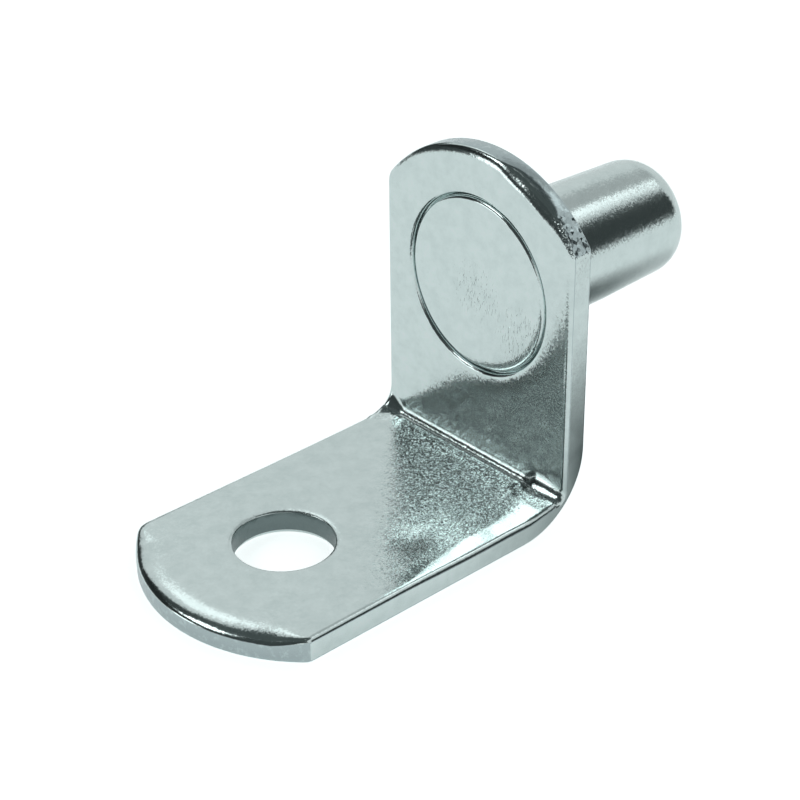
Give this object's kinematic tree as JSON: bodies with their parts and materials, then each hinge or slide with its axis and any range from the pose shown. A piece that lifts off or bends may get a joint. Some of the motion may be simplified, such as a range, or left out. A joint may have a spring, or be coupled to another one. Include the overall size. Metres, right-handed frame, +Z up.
{
  "type": "shelf support pin",
  "caption": "Folded sheet-steel shelf bracket with a round-ended pin set flush through its upright and a screw hole in its leg.",
  "frame": {"origin": "on the shank's axis, where the shank leaves the back face of the upright", "axes": "+X across the bracket's width, +Y along the shank to its free end, +Z up from the leg to the upright's crown, as it hangs in a cabinet side"},
  "size_m": [0.01, 0.0246, 0.014],
  "materials": {
    "bracket": "barrel nickel plate on sheet steel, satin bright",
    "pin": "barrel nickel plate on turned steel, satin bright"
  },
  "bodies": {
    "root": {"bracket": "bracket", "pin": "pin"}
  },
  "joints": []
}
